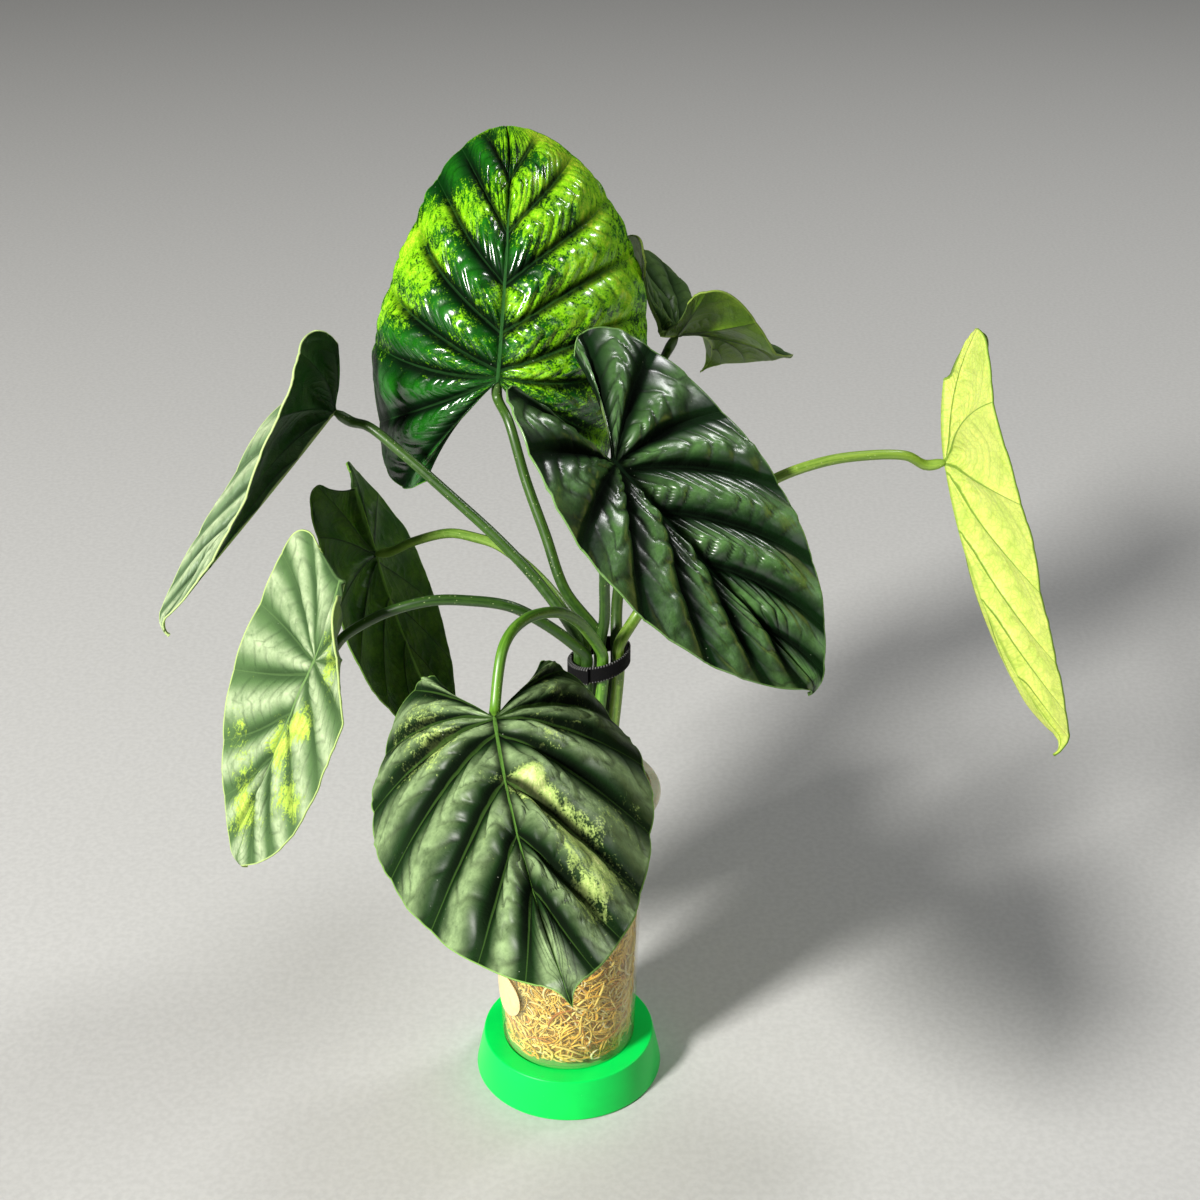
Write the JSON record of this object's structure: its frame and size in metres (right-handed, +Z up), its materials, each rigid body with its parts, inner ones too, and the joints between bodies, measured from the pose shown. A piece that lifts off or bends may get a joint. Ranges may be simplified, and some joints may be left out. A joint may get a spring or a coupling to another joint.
{
  "type": "potted aroid house plant",
  "caption": "Potted variegated alocasia with quilted arrow-shaped leaves on long arching stalks, in a clear cup of sphagnum moss on a round green stand.",
  "frame": {"origin": "centre of the stand's flat underside", "axes": "+Z up, -Y towards the side that the picture shows, +X to the right of it"},
  "size_m": [0.4263, 0.5116, 0.4395],
  "materials": {
    "stand": "satin emerald green plastic",
    "cup": "clear plastic, milky at the rim",
    "moss": "damp golden sphagnum moss",
    "sticker": "cream paper, blank",
    "strap": "black woven hook and loop strap",
    "stalk": "fresh green stalk, slightly glossy",
    "blade": "quilted leathery leaf, satin, with lime and silver variegation"
  },
  "bodies": {
    "root": {"stand": "stand", "cup": "cup", "moss": "moss", "sticker": "sticker", "strap": "strap", "crown_stalk": "stalk", "crown_blade": "blade", "front_right_stalk": "stalk", "front_right_blade": "blade", "front_stalk": "stalk", "front_blade": "blade", "far_left_stalk": "stalk", "far_left_blade": "blade", "left_stalk": "stalk", "left_blade": "blade", "middle_left_stalk": "stalk", "middle_left_blade": "blade", "back_stalk": "stalk", "back_blade": "blade", "far_right_stalk": "stalk", "far_right_blade": "blade"}
  },
  "joints": []
}
